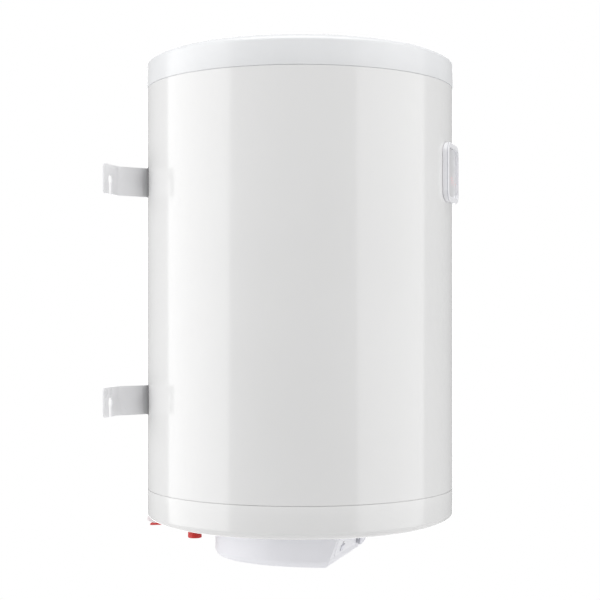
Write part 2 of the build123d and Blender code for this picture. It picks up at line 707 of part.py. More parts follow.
def insulation_foam(brackets, seals):
    """Foam between the tank and the casing, hollow where other pieces pass."""
    foam = envelope(FOAM_INSET) - tank_form() - post(FLANGE_R + 2, -FAR, -300)
    for x in (-PIPE_X, PIPE_X):
        foam -= post(BUSHING_R, -FAR, -270, x, PIPE_Y)
    foam -= post(DRAIN_STUB_R, -FAR, -270, DRAIN_X, DRAIN_Y)
    foam -= post(6.0, -FAR, BASE_Z + 6, EARTH_X, EARTH_Y)
    for x, y in COVER_SCREWS:
        foam -= post(SCREW_R + 0.5, -FAR, BASE_Z + 12, x, y)
    foam -= display_slab(HOUSING_SIZE, LENS_CORNER_R - 1, -470, HOUSING_BACK_Y + 1, grow=1.0)
    return foam - brackets - seals


def grouped(solids):
    """Separate solids kept together in one node."""
    return Compound(children=[solid for shape in solids for solid in shape.solids()])


upper, lower = bracket(HOOK_SPACING_Z / 2), bracket(-HOOK_SPACING_Z / 2)
both_brackets = upper + lower
slot_seals = grouped(bracket_slot_seals(both_brackets))

nodes = {
    "outer_casing": outer_casing(),
    "top_cap": top_cap(),
    "bottom_cap": bottom_cap(),
    "tank_barrel": tank_barrel(),
    "tank_top_head": tank_top_head(),
    "tank_bottom_head": tank_bottom_head(),
    "flange_neck": flange_neck(),
    "insulation_foam": insulation_foam(both_brackets, slot_seals),
    "upper_bracket": upper,
    "lower_bracket": lower,
    "bracket_slot_seals": slot_seals,
    "flange_gasket": flange_gasket(),
    "flange_plate": flange_plate(),
    "flange_studs": grouped(flange_studs()),
    "flange_nuts": grouped(flange_nuts()),
    "left_heating_element": u_element(-ELEMENT_X),
    "right_heating_element": u_element(ELEMENT_X),
    "element_insulators": grouped(terminal_insulators()),
    "magnesium_anode": magnesium_anode(),
    "anode_nut": anode_nut(),
    "sensor_pocket": sensor_pocket(),
    "temperature_sensor": temperature_sensor(),
    "thermal_cutout": thermal_cutout(),
    "reset_button": reset_button(),
    "hot_outlet_pipe": riser(HOT_TOP_Z, -PIPE_X),
    "cold_inlet_pipe": riser(COLD_TOP_Z, PIPE_X),
    "cold_diffuser": cold_diffuser(),
    "pipe_bushings": grouped(pipe_bushings()),
    "hot_plug": pipe_plug(-PIPE_X),
    "cold_plug": pipe_plug(PIPE_X),
    "drain_stub": drain_stub(),
    "drain_valve_body": drain_valve_body(),
    "drain_stem": drain_stem(),
    "drain_lever": drain_lever(),
    "service_cover": service_cover(),
    "cover_screws": grouped(cover_screws()),
    "control_panel": control_panel(),
    "power_button": power_button(),
    "pilot_lens": pilot_lens(),
    "power_switch": power_switch(),
    "panel_board": panel_board(),
    "temperature_knob": temperature_knob(),
    "thermostat_spindle": thermostat_spindle(),
    "thermostat_body": thermostat_body(),
    "cable_gland": cable_gland(),
    "gland_nut": gland_nut(),
    "terminal_block": terminal_block(),
    "terminal_screws": grouped(terminal_screws()),
    "earth_stud": earth_stud(),
    "earth_nut": earth_nut(),
    "display_bezel": display_bezel(),
    "display_gasket": display_gasket(),
    "display_lens": display_lens(),
    "display_housing": display_housing(),
    "display_board": display_board(),
    "digit_block": digit_block(),
    "digit_segments": grouped(digit_segments()),
}

os.makedirs("parts", exist_ok=True)
for name, shape in nodes.items():
    export_step(shape, f"parts/{name}.step")
    print(name, len(shape.solids()), round(shape.volume, 1))
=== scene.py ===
import json
import math

import bmesh
import bpy
from mathutils import Matrix, Vector


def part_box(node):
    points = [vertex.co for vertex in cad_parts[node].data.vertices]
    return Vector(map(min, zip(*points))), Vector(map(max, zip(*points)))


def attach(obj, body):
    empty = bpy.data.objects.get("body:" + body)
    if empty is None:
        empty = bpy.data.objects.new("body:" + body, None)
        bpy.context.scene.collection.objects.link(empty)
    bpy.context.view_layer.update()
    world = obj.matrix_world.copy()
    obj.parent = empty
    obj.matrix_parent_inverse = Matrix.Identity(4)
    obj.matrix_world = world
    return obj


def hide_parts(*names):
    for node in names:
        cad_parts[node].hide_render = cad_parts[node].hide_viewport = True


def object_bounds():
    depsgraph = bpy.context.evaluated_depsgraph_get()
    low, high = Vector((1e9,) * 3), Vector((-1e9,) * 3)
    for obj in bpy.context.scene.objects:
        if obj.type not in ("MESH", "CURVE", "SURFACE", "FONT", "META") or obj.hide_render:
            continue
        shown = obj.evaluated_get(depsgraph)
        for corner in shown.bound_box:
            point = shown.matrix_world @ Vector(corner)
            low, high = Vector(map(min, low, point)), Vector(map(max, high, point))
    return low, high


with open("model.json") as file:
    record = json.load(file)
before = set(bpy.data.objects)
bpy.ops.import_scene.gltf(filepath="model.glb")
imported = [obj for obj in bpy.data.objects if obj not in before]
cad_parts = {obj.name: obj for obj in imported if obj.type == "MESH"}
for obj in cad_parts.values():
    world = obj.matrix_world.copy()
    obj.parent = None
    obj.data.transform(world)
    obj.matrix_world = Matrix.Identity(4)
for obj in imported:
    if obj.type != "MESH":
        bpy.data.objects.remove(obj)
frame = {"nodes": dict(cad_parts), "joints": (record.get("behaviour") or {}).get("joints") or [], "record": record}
CAD_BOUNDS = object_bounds()

# ---------------------------------------------------------------- places from the frame
CASING_LOW, CASING_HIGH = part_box("outer_casing")
AXIS = Vector((0.0, (CASING_LOW.y + CASING_HIGH.y) / 2, 0.0))
CASING_R = (CASING_HIGH.y - CASING_LOW.y) / 2
MM = 0.001


# ---------------------------------------------------------------- materials
class Nodes:
    """A material's node tree with short calls for the nodes that the finishes share."""

    def __init__(self, name):
        self.material = bpy.data.materials.new(name)
        self.material.use_nodes = True
        self.tree = self.material.node_tree
        self.shader = self.tree.nodes["Principled BSDF"]
        self.place = self.tree.nodes.new("ShaderNodeTexCoord").outputs["Object"]

    def link(self, output, target):
        self.tree.links.new(output, target)

    def stretched(self, scale):
        node = self.tree.nodes.new("ShaderNodeMapping")
        node.inputs["Scale"].default_value = scale
        self.link(self.place, node.inputs["Vector"])
        return node.outputs["Vector"]

    def noise(self, scale, detail=3.0, vector=None):
        node = self.tree.nodes.new("ShaderNodeTexNoise")
        node.inputs["Scale"].default_value = scale
        node.inputs["Detail"].default_value = detail
        self.link(vector or self.place, node.inputs["Vector"])
        return node.outputs["Fac"]

    def cells(self, scale):
        node = self.tree.nodes.new("ShaderNodeTexVoronoi")
        node.inputs["Scale"].default_value = scale
        self.link(self.place, node.inputs["Vector"])
        return node.outputs["Distance"]

    def ramp(self, value, low, high, start=0.35, end=0.65):
        node = self.tree.nodes.new("ShaderNodeValToRGB")
        node.color_ramp.elements[0].position = start
        node.color_ramp.elements[1].position = end
        node.color_ramp.elements[0].color = (*low, 1)
        node.color_ramp.elements[1].color = (*high, 1)
        self.link(value, node.inputs["Fac"])
        return node.outputs["Color"]

    def span(self, value, low, high):
        node = self.tree.nodes.new("ShaderNodeMapRange")
        node.inputs["To Min"].default_value = low
        node.inputs["To Max"].default_value = high
        self.link(value, node.inputs["Value"])
        return node.outputs["Result"]

    def bump(self, value, depth, strength):
        node = self.tree.nodes.new("ShaderNodeBump")
        node.inputs["Distance"].default_value = depth
        node.inputs["Strength"].default_value = strength
        self.link(value, node.inputs["Height"])
        return node.outputs["Normal"]

    def finish(self, color, roughness, normal=None, **values):
        self.link(color, self.shader.inputs["Base Color"])
        self.link(roughness, self.shader.inputs["Roughness"])
        if normal:
            self.link(normal, self.shader.inputs["Normal"])
        for name, value in values.items():
            self.shader.inputs[name.replace("_", " ")].default_value = value
        return self.material


def shade(color, factor):
    return tuple(min(1.0, c * factor) for c in color)


def enamel(name, color, rough):
    """Sprayed and stoved gloss paint: faint cloudiness and orange peel."""
    n = Nodes(name)
    cloud = n.ramp(n.noise(6.0, 4.0), shade(color, 0.985), color)
    peel = n.bump(n.noise(420.0, 2.0), 0.00002, 0.25)
    gloss = n.span(n.noise(22.0), rough - 0.03, rough + 0.04)
    return n.finish(cloud, gloss, peel, Coat_Weight=0.25)


def moulded(name, color, rough, grain=900.0):
    """Injection-moulded plastic with a fine spark grain."""
    n = Nodes(name)
    tone = n.ramp(n.noise(14.0, 3.0), shade(color, 0.97), color)
    skin = n.bump(n.noise(grain, 3.0), 0.00002, 0.5)
    return n.finish(tone, n.span(n.noise(60.0), rough - 0.05, rough + 0.06), skin)


def powder_coat(name, color):
    """Textured powder coat over bent steel."""
    n = Nodes(name)
    tone = n.ramp(n.noise(30.0, 5.0), shade(color, 0.96), color)
    skin = n.bump(n.noise(600.0, 3.0), 0.00004, 0.4)
    return n.finish(tone, n.span(n.noise(45.0), 0.24, 0.34), skin)


def metal(name, color, rough, streak=(4.0, 4.0, 160.0)):
    """Turned, drawn or rolled metal with streaks along one way."""
    n = Nodes(name)
    lines = n.noise(12.0, 4.0, n.stretched(streak))
    tone = n.ramp(lines, shade(color, 0.8), color)
    gloss = n.span(lines, rough - 0.08, rough + 0.12)
    return n.finish(tone, gloss, n.bump(lines, 0.00002, 0.4), Metallic=1.0)


def rubber(name, color):
    n = Nodes(name)
    tone = n.ramp(n.noise(90.0, 4.0), shade(color, 0.7), color)
    return n.finish(tone, n.span(n.noise(40.0), 0.65, 0.85), n.bump(n.noise(500.0), 0.00005, 0.5))


def foam(name, color):
    """Rigid foam with open cut cells."""
    n = Nodes(name)
    cells = n.cells(420.0)
    tone = n.ramp(cells, shade(color, 0.72), color, 0.0, 0.6)
    return n.finish(tone, n.span(n.noise(60.0), 0.8, 0.95), n.bump(cells, 0.0006, 0.7))


def ceramic(name, color):
    n = Nodes(name)
    tone = n.ramp(n.noise(120.0, 4.0), shade(color, 0.93), color)
    return n.finish(tone, n.span(n.noise(70.0), 0.3, 0.45), n.bump(n.noise(700.0), 0.00004, 0.4))


def circuit(name, color):
    """Solder mask with lighter copper paths beneath it."""
    n = Nodes(name)
    paths = n.noise(70.0, 0.0, n.stretched((1.0, 1.0, 3.0)))
    tone = n.ramp(paths, color, shade(color, 1.9), 0.49, 0.52)
    return n.finish(tone, n.span(n.noise(90.0), 0.25, 0.4), n.bump(paths, 0.00004, 0.4))


def window_painted_reflection(name, color):
    """Lightly tinted window over the display and over the pilot light, coloured pale to paint the reflection of
    the white surroundings that a darker screen shows at a grazing angle.
    """
    n = Nodes(name)
    tone = n.ramp(n.noise(25.0), shade(color, 0.9), color)
    gloss = n.span(n.noise(40.0), 0.08, 0.14)
    return n.finish(tone, gloss, Transmission_Weight=0.2, IOR=1.49)


def lit(name, color):
    """Display segment that glows, a little uneven along its length."""
    n = Nodes(name)
    tone = n.ramp(n.noise(300.0), shade(color, 0.8), color)
    n.link(tone, n.shader.inputs["Emission Color"])
    return n.finish(tone, n.span(n.noise(60.0), 0.35, 0.5), Emission_Strength=12.0)


# slot, and the maker of its material with that maker's values
FINISHES = {
    "casing_white": (enamel, (0.808, 0.807, 0.805), 0.15),
    "cap_white": (moulded, (0.825, 0.833, 0.845), 0.22, 700.0),
    "bracket_paint": (powder_coat, (0.90, 0.90, 0.915)),
    "tank_enamel": (enamel, (0.05, 0.09, 0.18), 0.25),
    "foam": (foam, (0.72, 0.60, 0.32)),
    "black_rubber": (rubber, (0.035, 0.035, 0.037)),
    "zinc_steel": (metal, (0.66, 0.67, 0.69), 0.32),
    "stainless": (metal, (0.62, 0.62, 0.62), 0.28),
    "copper": (metal, (0.72, 0.38, 0.25), 0.3),
    "magnesium": (metal, (0.55, 0.55, 0.54), 0.45),
    "brass": (metal, (0.72, 0.53, 0.24), 0.28, (90.0, 90.0, 8.0)),
    "cover_white": (moulded, (0.89, 0.89, 0.93), 0.42),
    "panel_white": (moulded, (0.95, 0.95, 0.99), 0.34, 1400.0),
    "button_grey": (moulded, (0.52, 0.525, 0.57), 0.35, 1600.0),
    "knob_white": (moulded, (0.86, 0.86, 0.92), 0.3, 1500.0),
    "red_plastic": (moulded, (0.62, 0.018, 0.014), 0.28, 1100.0),
    "blue_plastic": (moulded, (0.015, 0.06, 0.42), 0.28, 1100.0),
    # faintly pink nylon; on the drain handle's tab this colour paints the highlight of the red handle
    "white_nylon": (moulded, (0.87, 0.80, 0.82), 0.5, 800.0),
    "black_plastic": (moulded, (0.025, 0.025, 0.028), 0.45, 1000.0),
    "circuit_green": (circuit, (0.01, 0.09, 0.03)),
    "bezel_white": (moulded, (0.95, 0.95, 0.98), 0.2, 1500.0),
    # pale colour paints the grazing reflection on the display's screen
    "lens_smoke": (window_painted_reflection, (0.90, 0.90, 0.92)),
    "digit_red": (lit, (0.85, 0.03, 0.02)),
    "ceramic_white": (ceramic, (0.72, 0.70, 0.64)),
}
MATERIALS = {slot: maker(slot, *values) for slot, (maker, *values) in FINISHES.items()}


def dress_frame():
    """Gives each CAD node the finish of its slot."""
    for part in frame["record"]["subparts"]:
        data = frame["nodes"][part["node"]].data
        data.materials.clear()
        data.materials.append(MATERIALS[part["material_slot"]])


# ---------------------------------------------------------------- mesh tools
EDGE_ANGLE = 40.0  # edges sharper than this many degrees are rounded
SAME_POINT = 2e-6  # vertices closer than this are one
FLAT_ANGLE = math.radians(0.4)  # CAD triangles within this of each other are one flat face


def middle(node):
    """Centre of a CAD node's box."""
    low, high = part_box(node)
    return (low + high) / 2


def finish_piece(form, name, slot, body="heater", place=None, replaces=(), sharp=35.0):
    """Turns a bmesh into a smooth-shaded piece that rides a body and wears a slot's finish."""
    if place is not None:
        bmesh.ops.transform(form, matrix=place, verts=form.verts)
    mesh = bpy.data.meshes.new(name)
    form.to_mesh(mesh)
    form.free()
    mesh.polygons.foreach_set("use_smooth", [True] * len(mesh.polygons))
    mesh.set_sharp_from_angle(angle=math.radians(sharp))
    mesh.materials.append(MATERIALS[slot])
    piece = bpy.data.objects.new(name, mesh)
    bpy.context.scene.collection.objects.link(piece)
    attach(piece, body)
    if replaces:
        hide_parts(*replaces)
    return piece


def arc(centre_r, centre_z, across, up, start, end, count):
    """Points of an elliptical arc as (radius, height)."""
    turns = [math.radians(start + (end - start) * i / count) for i in range(count + 1)]
    return [(centre_r + across * math.cos(t), centre_z + up * math.sin(t)) for t in turns]


def join_rings(form, low, high):
    """Faces between two rings of points; a ring of one point makes triangles."""
    count = max(len(low), len(high))
    for k in range(count):
        after = (k + 1) % count
        corners = (low[k % len(low)], low[after % len(low)])
        corners += (high[after % len(high)], high[k % len(high)])
        corners = list(dict.fromkeys(corners))
        if len(corners) > 2:
            form.faces.new(corners)


def turned(outline, steps=96, shape=None, closed=True):
    """Ring mesh of (radius, height) points in mm round Z; shape(row, turn) adds to a radius."""
    form = bmesh.new()
    rings = []
    for row, (radius, height) in enumerate(outline):
        if radius == 0:
            rings.append([form.verts.new((0, 0, height * MM))])
            continue
        ring = []
        for k in range(steps):
            turn = 2 * math.pi * k / steps
            wide = (radius + (shape(row, turn) if shape else 0)) * MM
            point = (wide * math.cos(turn), wide * math.sin(turn), height * MM)
            ring.append(form.verts.new(point))
        rings.append(ring)
    for low, high in zip(rings, rings[1:] + (rings[:1] if closed else [])):
        join_rings(form, low, high)
    bmesh.ops.recalc_face_normals(form, faces=form.faces)
    return form


def add_bevel(piece, width, segments=2):
    """Rounds a piece's sharp edges by a width in mm and keeps its flat faces flat in the light."""
    bevel = piece.modifiers.new("edges", "BEVEL")
    bevel.width = width * MM
    bevel.segments = segments
    bevel.limit_method = "ANGLE"
    bevel.angle_limit = math.radians(EDGE_ANGLE)
    bevel.harden_normals = True


def softened(node, width, slot, body="heater", segments=2):
    """Own copy of a CAD node with its edges rounded as they come out of a mould or a press."""
    form = bmesh.new()
    form.from_mesh(frame["nodes"][node].data)
    bmesh.ops.remove_doubles(form, verts=form.verts, dist=SAME_POINT)
    bmesh.ops.dissolve_limit(form, angle_limit=FLAT_ANGLE, verts=form.verts, edges=form.edges)
    piece = finish_piece(form, node + "_piece", slot, body, replaces=(node,), sharp=EDGE_ANGLE)
    add_bevel(piece, width, segments)
    weigh = piece.modifiers.new("flats", "WEIGHTED_NORMAL")
    weigh.keep_sharp = True
    return piece


def block(form, wide, deep, tall, place):
    """Adds a block with sides in mm to a form, with its centre carried by a place."""
    verts = bmesh.ops.create_cube(form, size=1.0)["verts"]
    sides = Matrix.Diagonal((wide * MM, deep * MM, tall * MM, 1))
    bmesh.ops.transform(form, matrix=place @ sides, verts=verts)


def lifted(y, z):
    """Shift by y and z in mm."""
    return Matrix.Translation((0, y * MM, z * MM))


def upright(node):
    """Shift to a CAD node's upright axis, with heights left as they are."""
    centre = middle(node)
    return Matrix.Translation((centre.x, centre.y, 0.0))


# ---------------------------------------------------------------- round body
CASING_COLUMNS = 400  # faces round the rolled sheet, counted from the wall
WINDOW_COLUMNS = (30, 34)  # first and last column of a bracket leg's window
WINDOW_HALF, WINDOW_CORNER = 22 * MM, 3 * MM
OPENING_COLUMNS = 10  # half width of the opening behind the display
SHEET = 1.0  # thickness in mm of the casing and of the pressed bottom
CAP_STEPS = 256


def bracket_centres():
    """Heights of the upper and lower bracket."""
    return [middle(node).z for node in ("upper_bracket", "lower_bracket")]


def casing_rows(heights):
    """The bare cylinder's points, and the form that holds them."""
    form = bmesh.new()
    turns = [2 * math.pi * k / CASING_COLUMNS for k in range(CASING_COLUMNS)]
    round_points = [(CASING_R * math.sin(t), AXIS.y + CASING_R * math.cos(t)) for t in turns]
    return form, [[form.verts.new((x, y, z)) for x, y in round_points] for z in heights]


def casing_piece():
    """Rolled sheet with windows for the bracket legs and an opening for the display."""
    centres = bracket_centres()
    show_low, show_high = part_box("display_lens")
    opening = (show_low.z - MM, show_high.z + MM)
    heights = {CASING_LOW.z, CASING_HIGH.z, *opening}
    for centre in centres:
        for reach in (WINDOW_HALF, WINDOW_HALF - WINDOW_CORNER):
            heights |= {centre - reach, centre + reach}
    heights = sorted(heights)
    form, rows = casing_rows(heights)
    first, last = WINDOW_COLUMNS
    for low, high, bottom, top in zip(heights, heights[1:], rows, rows[1:]):
        height = (low + high) / 2
        above = height - min(centres, key=lambda centre: abs(height - centre))
        at_opening = opening[0] < height < opening[1]
        for k in range(CASING_COLUMNS):
            after = (k + 1) % CASING_COLUMNS
            quad = [bottom[k], bottom[after], top[after], top[k]]
            column = min(k, CASING_COLUMNS - 1 - k)
            if at_opening and abs(k + 0.5 - CASING_COLUMNS / 2) < OPENING_COLUMNS:
                continue
            if abs(above) < WINDOW_HALF and first <= column <= last:
                if abs(above) < WINDOW_HALF - WINDOW_CORNER or first < column < last:
                    continue
                # A window's corner: the point nearest its middle goes, which leaves a triangle
                inner_row = top if above < 0 else bottom
                inner_side = after if (column == first) == (k == column) else k
                quad.remove(inner_row[inner_side])
            form.faces.new(quad)
    bmesh.ops.recalc_face_normals(form, faces=form.faces)
    piece = finish_piece(form, "casing_sheet", "casing_white", replaces=("outer_casing",))
    wall = piece.modifiers.new("sheet", "SOLIDIFY")
    wall.thickness = SHEET * MM
    wall.offset = -1.0
    add_bevel(piece, 0.3)
    return piece


def casing_seam():
    """Folded lock seam of the rolled sheet, at the back where it faces the wall."""
    form = bmesh.new()
    across = [(-4.5, -0.2), (-4.2, 0.55), (-3.6, 0.75), (3.4, 0.75), (3.9, 0.5), (4.1, -0.2)]
    margin = 2 * MM  # left between the seam and each cap
    rings = []
    for z in (CASING_LOW.z + margin, CASING_HIGH.z - margin):
        ring = []
        for side, out in across:
            turn = side * MM / CASING_R
            reach = CASING_R + out * MM
            point = (reach * math.sin(turn), AXIS.y + reach * math.cos(turn), z)
            ring.append(form.verts.new(point))
        rings.append(ring)
    join_rings(form, *rings)
    for ring in rings:
        form.faces.new(ring)
    bmesh.ops.recalc_face_normals(form, faces=form.faces)
    return finish_piece(form, "casing_lock_seam", "casing_white")


def top_cap_piece():
    """Moulded cap: skirt inside the casing, rounded rim, flat ring and low dome."""
    dome_rise, dome_r, wall = 8.0, 184.0, 2.0
    edge_r, edge_across, edge_up = 195.5, 29.5, 11.8
    seam, rim = 294.7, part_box("top_cap")[1].z / MM - dome_rise
    outer = arc(edge_r, rim - edge_up, edge_across, edge_up, 0, 90, 14)
    radii = (dome_r, 170, 150, 125, 100, 75, 50, 25, 0)
    dome = [(r, rim + dome_rise * (1 - (r / dome_r) ** 2)) for r in radii]
    inner = [(r, z - wall) for r, z in reversed(dome)]
    inner += arc(edge_r, rim - edge_up, edge_across - wall, edge_up - wall, 90, 0, 8)
    outline = [(222.6, 284.4), (223.8, 284.4), (223.8, seam), (224.5, seam), (224.88, seam + 0.12)]
    outline += [(225.0, seam + 0.5), (225.0, 312.0)] + outer + [(190.0, rim), (185.0, rim + 0.02)]
    outline += dome + inner + [(223.0, 297.3), (222.6, 297.3)]
    form = turned(outline, CAP_STEPS)
    place = Matrix.Translation(AXIS)
    return finish_piece(form, "top_cap_shell", "cap_white", place=place, replaces=("top_cap",))


BOTTOM_OPENINGS = (
    # fitting, radius of its opening in mm
    ("flange_neck", 68.0),
    ("hot_outlet_pipe", 13.0),
    ("cold_inlet_pipe", 13.0),
    ("drain_stub", 8.5),
    ("earth_stud", 2.55),
)


def bottom_cap_piece():
    """Pressed bottom: skirt, rounded edge and a flat plate with openings for the fittings."""
    edge_r, edge_across, edge_up = 197.2, 27.8, 12.3
    seam, base = -286.4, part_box("bottom_cap")[0].z / MM
    middle_z = base + edge_up
    outline = [(edge_r, base + SHEET)]
    outline += arc(edge_r, middle_z, edge_across - SHEET, edge_up - SHEET, 270, 360, 10)[1:]
    outline += [(224.0, -289.5), (222.6, -288.5), (222.6, -276.2), (223.8, -276.2), (223.8, seam)]
    outline += [(224.5, seam), (224.88, seam - 0.12), (225.0, seam - 0.5), (225.0, -300.0)]
    outline += arc(edge_r, middle_z, edge_across, edge_up, 360, 270, 14)
    form = turned(outline, CAP_STEPS, closed=False)
    bmesh.ops.transform(form, matrix=Matrix.Translation(AXIS), verts=form.verts)
    plate = (base * MM, (base + SHEET) * MM)
    walls = []
    for node, radius in BOTTOM_OPENINGS:
        centre = middle(node)
        count = 64 if node == "flange_neck" else 32
        turns = [2 * math.pi * k / count for k in range(count)]
        reach = radius * MM
        hole = [(centre.x + reach * math.cos(t), centre.y + reach * math.sin(t)) for t in turns]
        pair = []
        for z in plate:
            ring = [form.verts.new((x, y, z)) for x, y in hole]
            for a, b in zip(ring, ring[1:] + ring[:1]):
                form.edges.new((a, b))
            pair.append(ring)
        walls.append(pair)
    for z in plate:
        open_edges = [edge for edge in form.edges if len(edge.link_faces) < 2]
        rim = [e for e in open_edges if all(abs(v.co.z - z) < 1e-6 for v in e.verts)]
        bmesh.ops.triangle_fill(form, edges=rim, use_beauty=True, normal=(0, 0, -1))
    for pair in walls:
        join_rings(form, *pair)
    bmesh.ops.recalc_face_normals(form, faces=form.faces)
    return finish_piece(form, "bottom_cap_shell", "casing_white", replaces=("bottom_cap",))


# ---------------------------------------------------------------- pipes, plugs and drain
THREAD_PITCH = 1.814  # G1/2, in mm
ROWS_PER_PITCH = 8


def nipple(node, name):
    """Threaded nipple and its thinner riser, bored through."""
    end, top = (corner.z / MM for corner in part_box(node))
    first, last = end + 0.6, end + 15.4
    neck = -280.0  # height where the nipple narrows to its riser
    rows = int((last - first) / THREAD_PITCH * ROWS_PER_PITCH)
    thread = [(10.48, first + (last - first) * i / rows) for i in range(rows + 1)]
    outline = [(9.2, end)] + thread + [(10.65, end + 16.2), (10.65, neck), (8.5, neck + 0.4)]
    outline += [(8.5, top), (7.0, top), (7.0, neck), (7.75, neck - 1.0), (7.75, end)]

    def ridge(row, turn):
        if not 0 < row <= rows + 1:
            return 0.0
        along = (outline[row][1] - end) / THREAD_PITCH - turn / (2 * math.pi)
        fade = min(1.0, (rows + 1 - row) / 10.0)
        return -1.1 * abs(2 * (along % 1.0) - 1.0) * fade

    form = turned(outline, 64, ridge)
    place = upright(node)
    return finish_piece(form, name, "stainless", place=place, replaces=(node,), sharp=50)


def plug(node, name, slot, body):
    """Push-in stopper: ribbed head, groove for pulling, ringed stem."""
    end, top = (corner.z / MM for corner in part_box(node))
    grip = 10.15
    outline = [(0, end + 1.2), (6.6, end + 1.2), (7.2, end + 0.9), (7.6, end + 0.1), (8.6, end)]
    outline += [(9.7, end + 0.3), (grip, end + 0.9), (grip, end + 7.2), (9.7, end + 7.5)]
    outline += [(9.7, end + 8.1), (10.1, end + 8.4), (10.1, end + 9.3), (9.8, end + 9.85)]
    outline += [(7.6, end + 9.9)]
    for ring in range(3):
        at = end + 12.0 + 3.0 * ring
        outline += [(7.2, at), (7.6, at + 0.5), (7.6, at + 1.3), (7.2, at + 1.9)]
    outline += [(7.2, top - 0.6), (6.4, top), (0, top)]

    def ribs(row, turn):
        return -0.16 * (1 + math.cos(36 * turn)) if outline[row][0] == grip else 0.0

    form = turned(outline, 240, ribs, closed=False)
    return finish_piece(form, name, slot, body, upright(node), (node,), sharp=30)


# Bar stations: y, z, half height and half thickness in mm, and twist in degrees
LEVER_BAR = (
    (-66.2, -341.2, 3.0, 1.3, 0),
    (-64.5, -341.2, 5.6, 1.5, 0),
    (-60.0, -341.2, 6.4, 1.5, 0),
    (-55.0, -341.4, 6.0, 1.5, 0),
    (-46.0, -342.2, 4.4, 1.5, 4),
    (-34.0, -343.4, 3.2, 1.5, 12),
    (-25.0, -344.4, 2.6, 1.5, 20),
    (-18.0, -345.2, 2.3, 1.4, 24),
    (-13.5, -346.0, 2.0, 1.3, 24),
    (-11.6, -346.6, 1.2, 0.9, 24),
)
# Stations of the tab at the handle's end; its pale pink paints the highlight on the red handle
LEVER_HIGHLIGHT_TAB = (
    (-23.5, -343.0, 1.0, 0.5, 20),
    (-22.0, -342.6, 2.0, 0.8, 20),
    (-18.0, -340.6, 3.6, 0.9, 20),
    (-14.0, -338.6, 4.6, 0.9, 20),
    (-10.5, -337.6, 4.6, 0.9, 20),
    (-8.2, -337.4, 3.6, 0.8, 20),
    (-7.2, -337.4, 2.0, 0.5, 20),
)
# Corners of a bar's section as shares of its half height and half thickness
BAR_SECTION = (
    (-1, -0.5), (-0.8, -1), (0.8, -1), (1, -0.5),
    (1, 0.5), (0.8, 1), (-0.8, 1), (-1, 0.5),
)


def flat_bar(stations):
    """Bar with chamfered edges through a row of stations."""
    middle_x = middle("drain_lever").x
    form = bmesh.new()
    sections = []
    for y, z, half, thick, twist in stations:
        turn = math.radians(twist)
        across = Vector((math.sin(turn), 0, math.cos(turn)))
        out = Vector((math.cos(turn), 0, -math.sin(turn)))
        centre = Vector((middle_x, y * MM, z * MM))
        ring = []
        for u, v in BAR_SECTION:
            point = centre + across * (u * half * MM) + out * (v * thick * MM)
            ring.append(form.verts.new(point))
        sections.append(ring)
    for a, b in zip(sections, sections[1:]):
        join_rings(form, a, b)
    form.faces.new(sections[0])
    form.faces.new(sections[-1])
    bmesh.ops.recalc_face_normals(form, faces=form.faces)
    return form


def add_smoothing(piece):
    rounder = piece.modifiers.new("round", "SUBSURF")
    rounder.levels = rounder.render_levels = 2


def lever_pieces():
    """Drain handle: a moulded bar that slims from its hub, and a pale finger tab at its end whose pale pink paints
    the highlight of the glossy red handle.
    """
    for stations, name, slot, replaced in (
        (LEVER_BAR, "drain_handle", "red_plastic", ("drain_lever",)),
        (LEVER_HIGHLIGHT_TAB, "drain_handle_painted_highlight_tab", "white_nylon", ()),
    ):
        bar = finish_piece(flat_bar(stations), name, slot, "lever", replaces=replaced, sharp=80)
        add_smoothing(bar)


def lever_hub():
    """Round boss with a shallow recess, where the handle sits on its stem."""
    outer_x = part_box("drain_lever")[0].x + 0.1 * MM
    stem = middle("drain_stem")
    outline = [(0, 0.0), (5.2, 0.0), (5.6, 0.3), (5.6, 1.3), (5.2, 1.7), (3.3, 1.7), (3.1, 1.5)]
    outline += [(0, 1.5)]
    place = Matrix.Translation((outer_x, stem.y, stem.z)) @ Matrix.Rotation(-math.pi / 2, 4, "Y")
    form = turned(outline, 48, closed=False)
    return finish_piece(form, "drain_handle_boss", "red_plastic", "lever", place)


# ---------------------------------------------------------------- control panel
def panel_inward():
    """Unit vector into the panel, which is the knob's axis."""
    axes = {joint["name"]: joint["axis"] for joint in frame["joints"]}
    return Vector(axes["knob_turn"]).normalized()


def panel_frame(at):
    """Matrix with x to the right, y up the panel and z out of it, at a point."""
    out = -panel_inward()
    right = Vector((1, 0, 0))
    up = out.cross(right)
    turn = Matrix((right, up, out)).transposed().to_4x4()
    return Matrix.Translation(at) @ turn


def knob_base():
    """Point of the panel's face on the knob's axis."""
    return middle("thermostat_spindle") - panel_inward() * 2 * MM


def knob_pieces():
    """Grey ribbed grip round a pale cap with a pointer rib and a dished face."""
    place = panel_frame(knob_base())
    bore, grip_r = 3.1, 17.85
    grip = [(bore, 0.95), (17.2, 0.95), (grip_r, 1.5), (grip_r, 5.2), (17.4, 5.7), (15.6, 5.8)]
    grip += [(bore, 5.8)]

    def ribs(row, turn):
        return -0.35 * (1 + math.cos(48 * turn)) if grip[row][0] == grip_r else 0.0

    form = turned(grip, 384, ribs)
    finish_piece(form, "knob_grip", "button_grey", "knob", place, (), 30)
    cap = [(bore, 5.6), (16.9, 5.6), (17.2, 6.2), (17.0, 7.3), (16.2, 8.2), (14.8, 8.5)]
    cap += [(12.8, 8.45), (7.0, 8.1), (0, 8.0)]
    form = turned(cap, 96, closed=False)
    finish_piece(form, "knob_cap", "knob_white", "knob", place, ("temperature_knob",))
    form = bmesh.new()
    block(form, 1.9, 11.6, 1.5, lifted(9.0, 8.6))
    rib = finish_piece(form, "knob_pointer", "button_grey", "knob", place)
    add_bevel(rib, 0.5, 3)


TICK_RING = 19.2  # radius in mm where the ticks start
TICK_COUNT, TICK_STEP = 11, 27  # over the knob's 270 degrees of travel
PANEL_ROOM = (-15.5, 20)  # mm below and above the knob's axis that the ticks may use


